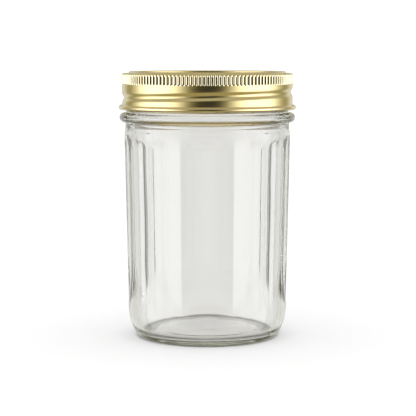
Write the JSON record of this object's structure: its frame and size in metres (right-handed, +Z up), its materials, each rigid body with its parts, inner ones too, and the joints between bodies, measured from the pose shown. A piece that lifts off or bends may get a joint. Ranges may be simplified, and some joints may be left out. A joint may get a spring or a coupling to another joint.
{
  "type": "mason jar",
  "caption": "Clear glass canning jar with flat panels round its wall, closed by a flat metal lid with a sealing ring and a knurled screw band.",
  "frame": {"origin": "centre of the bearing ring under the base, on the surface that the jar stands on", "axes": "+Z up along the jar's axis; -Y towards the viewer, through the middle of one flat panel; +X to the viewer's right, through one ridge"},
  "size_m": [0.0746, 0.0746, 0.112],
  "materials": {
    "clear_glass": "gloss",
    "gold_lacquer_lid": "satin",
    "sealing_compound": "satin",
    "gold_lacquer_band": "satin"
  },
  "bodies": {
    "jar": {"glass_jar": "clear_glass"},
    "lid": {"lid_disc": "gold_lacquer_lid", "sealing_ring": "sealing_compound"},
    "band": {"screw_band": "gold_lacquer_band"}
  },
  "joints": [
    {"name": "lid_lift", "type": "slide", "parent": "jar", "child": "lid", "axis": [0, 0, 1], "range_m": [0, 0.01524]},
    {"name": "band_turn", "type": "hinge", "parent": "lid", "child": "band", "pos_m": [0, 0, 0.1], "axis": [0, 0, 1], "range_deg": [0, 1080]}
  ],
  "couplings": [
    {"joint": "lid_lift", "follows": "band_turn", "m_per_rad": 0.00080851}
  ]
}
